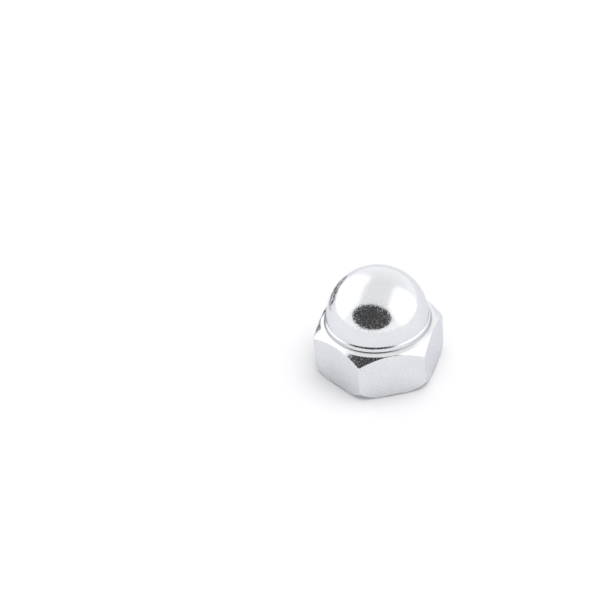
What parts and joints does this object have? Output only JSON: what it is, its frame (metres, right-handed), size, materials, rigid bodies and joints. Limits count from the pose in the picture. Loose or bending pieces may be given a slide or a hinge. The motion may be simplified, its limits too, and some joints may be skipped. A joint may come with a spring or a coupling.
{
  "type": "cap nut",
  "caption": "Low-crown cap nut: a hexagon with a smooth hemispherical dome closing its tapped blind hole.",
  "frame": {"origin": "centre of the bearing face, on the thread axis", "axes": "+Z along the thread axis towards the dome, +X towards a corner of the hexagon, +Y across two flats"},
  "size_m": [0.015, 0.013, 0.0122],
  "materials": {
    "plating": "polished bright plating"
  },
  "bodies": {
    "root": {"cap_nut": "plating"}
  },
  "joints": []
}
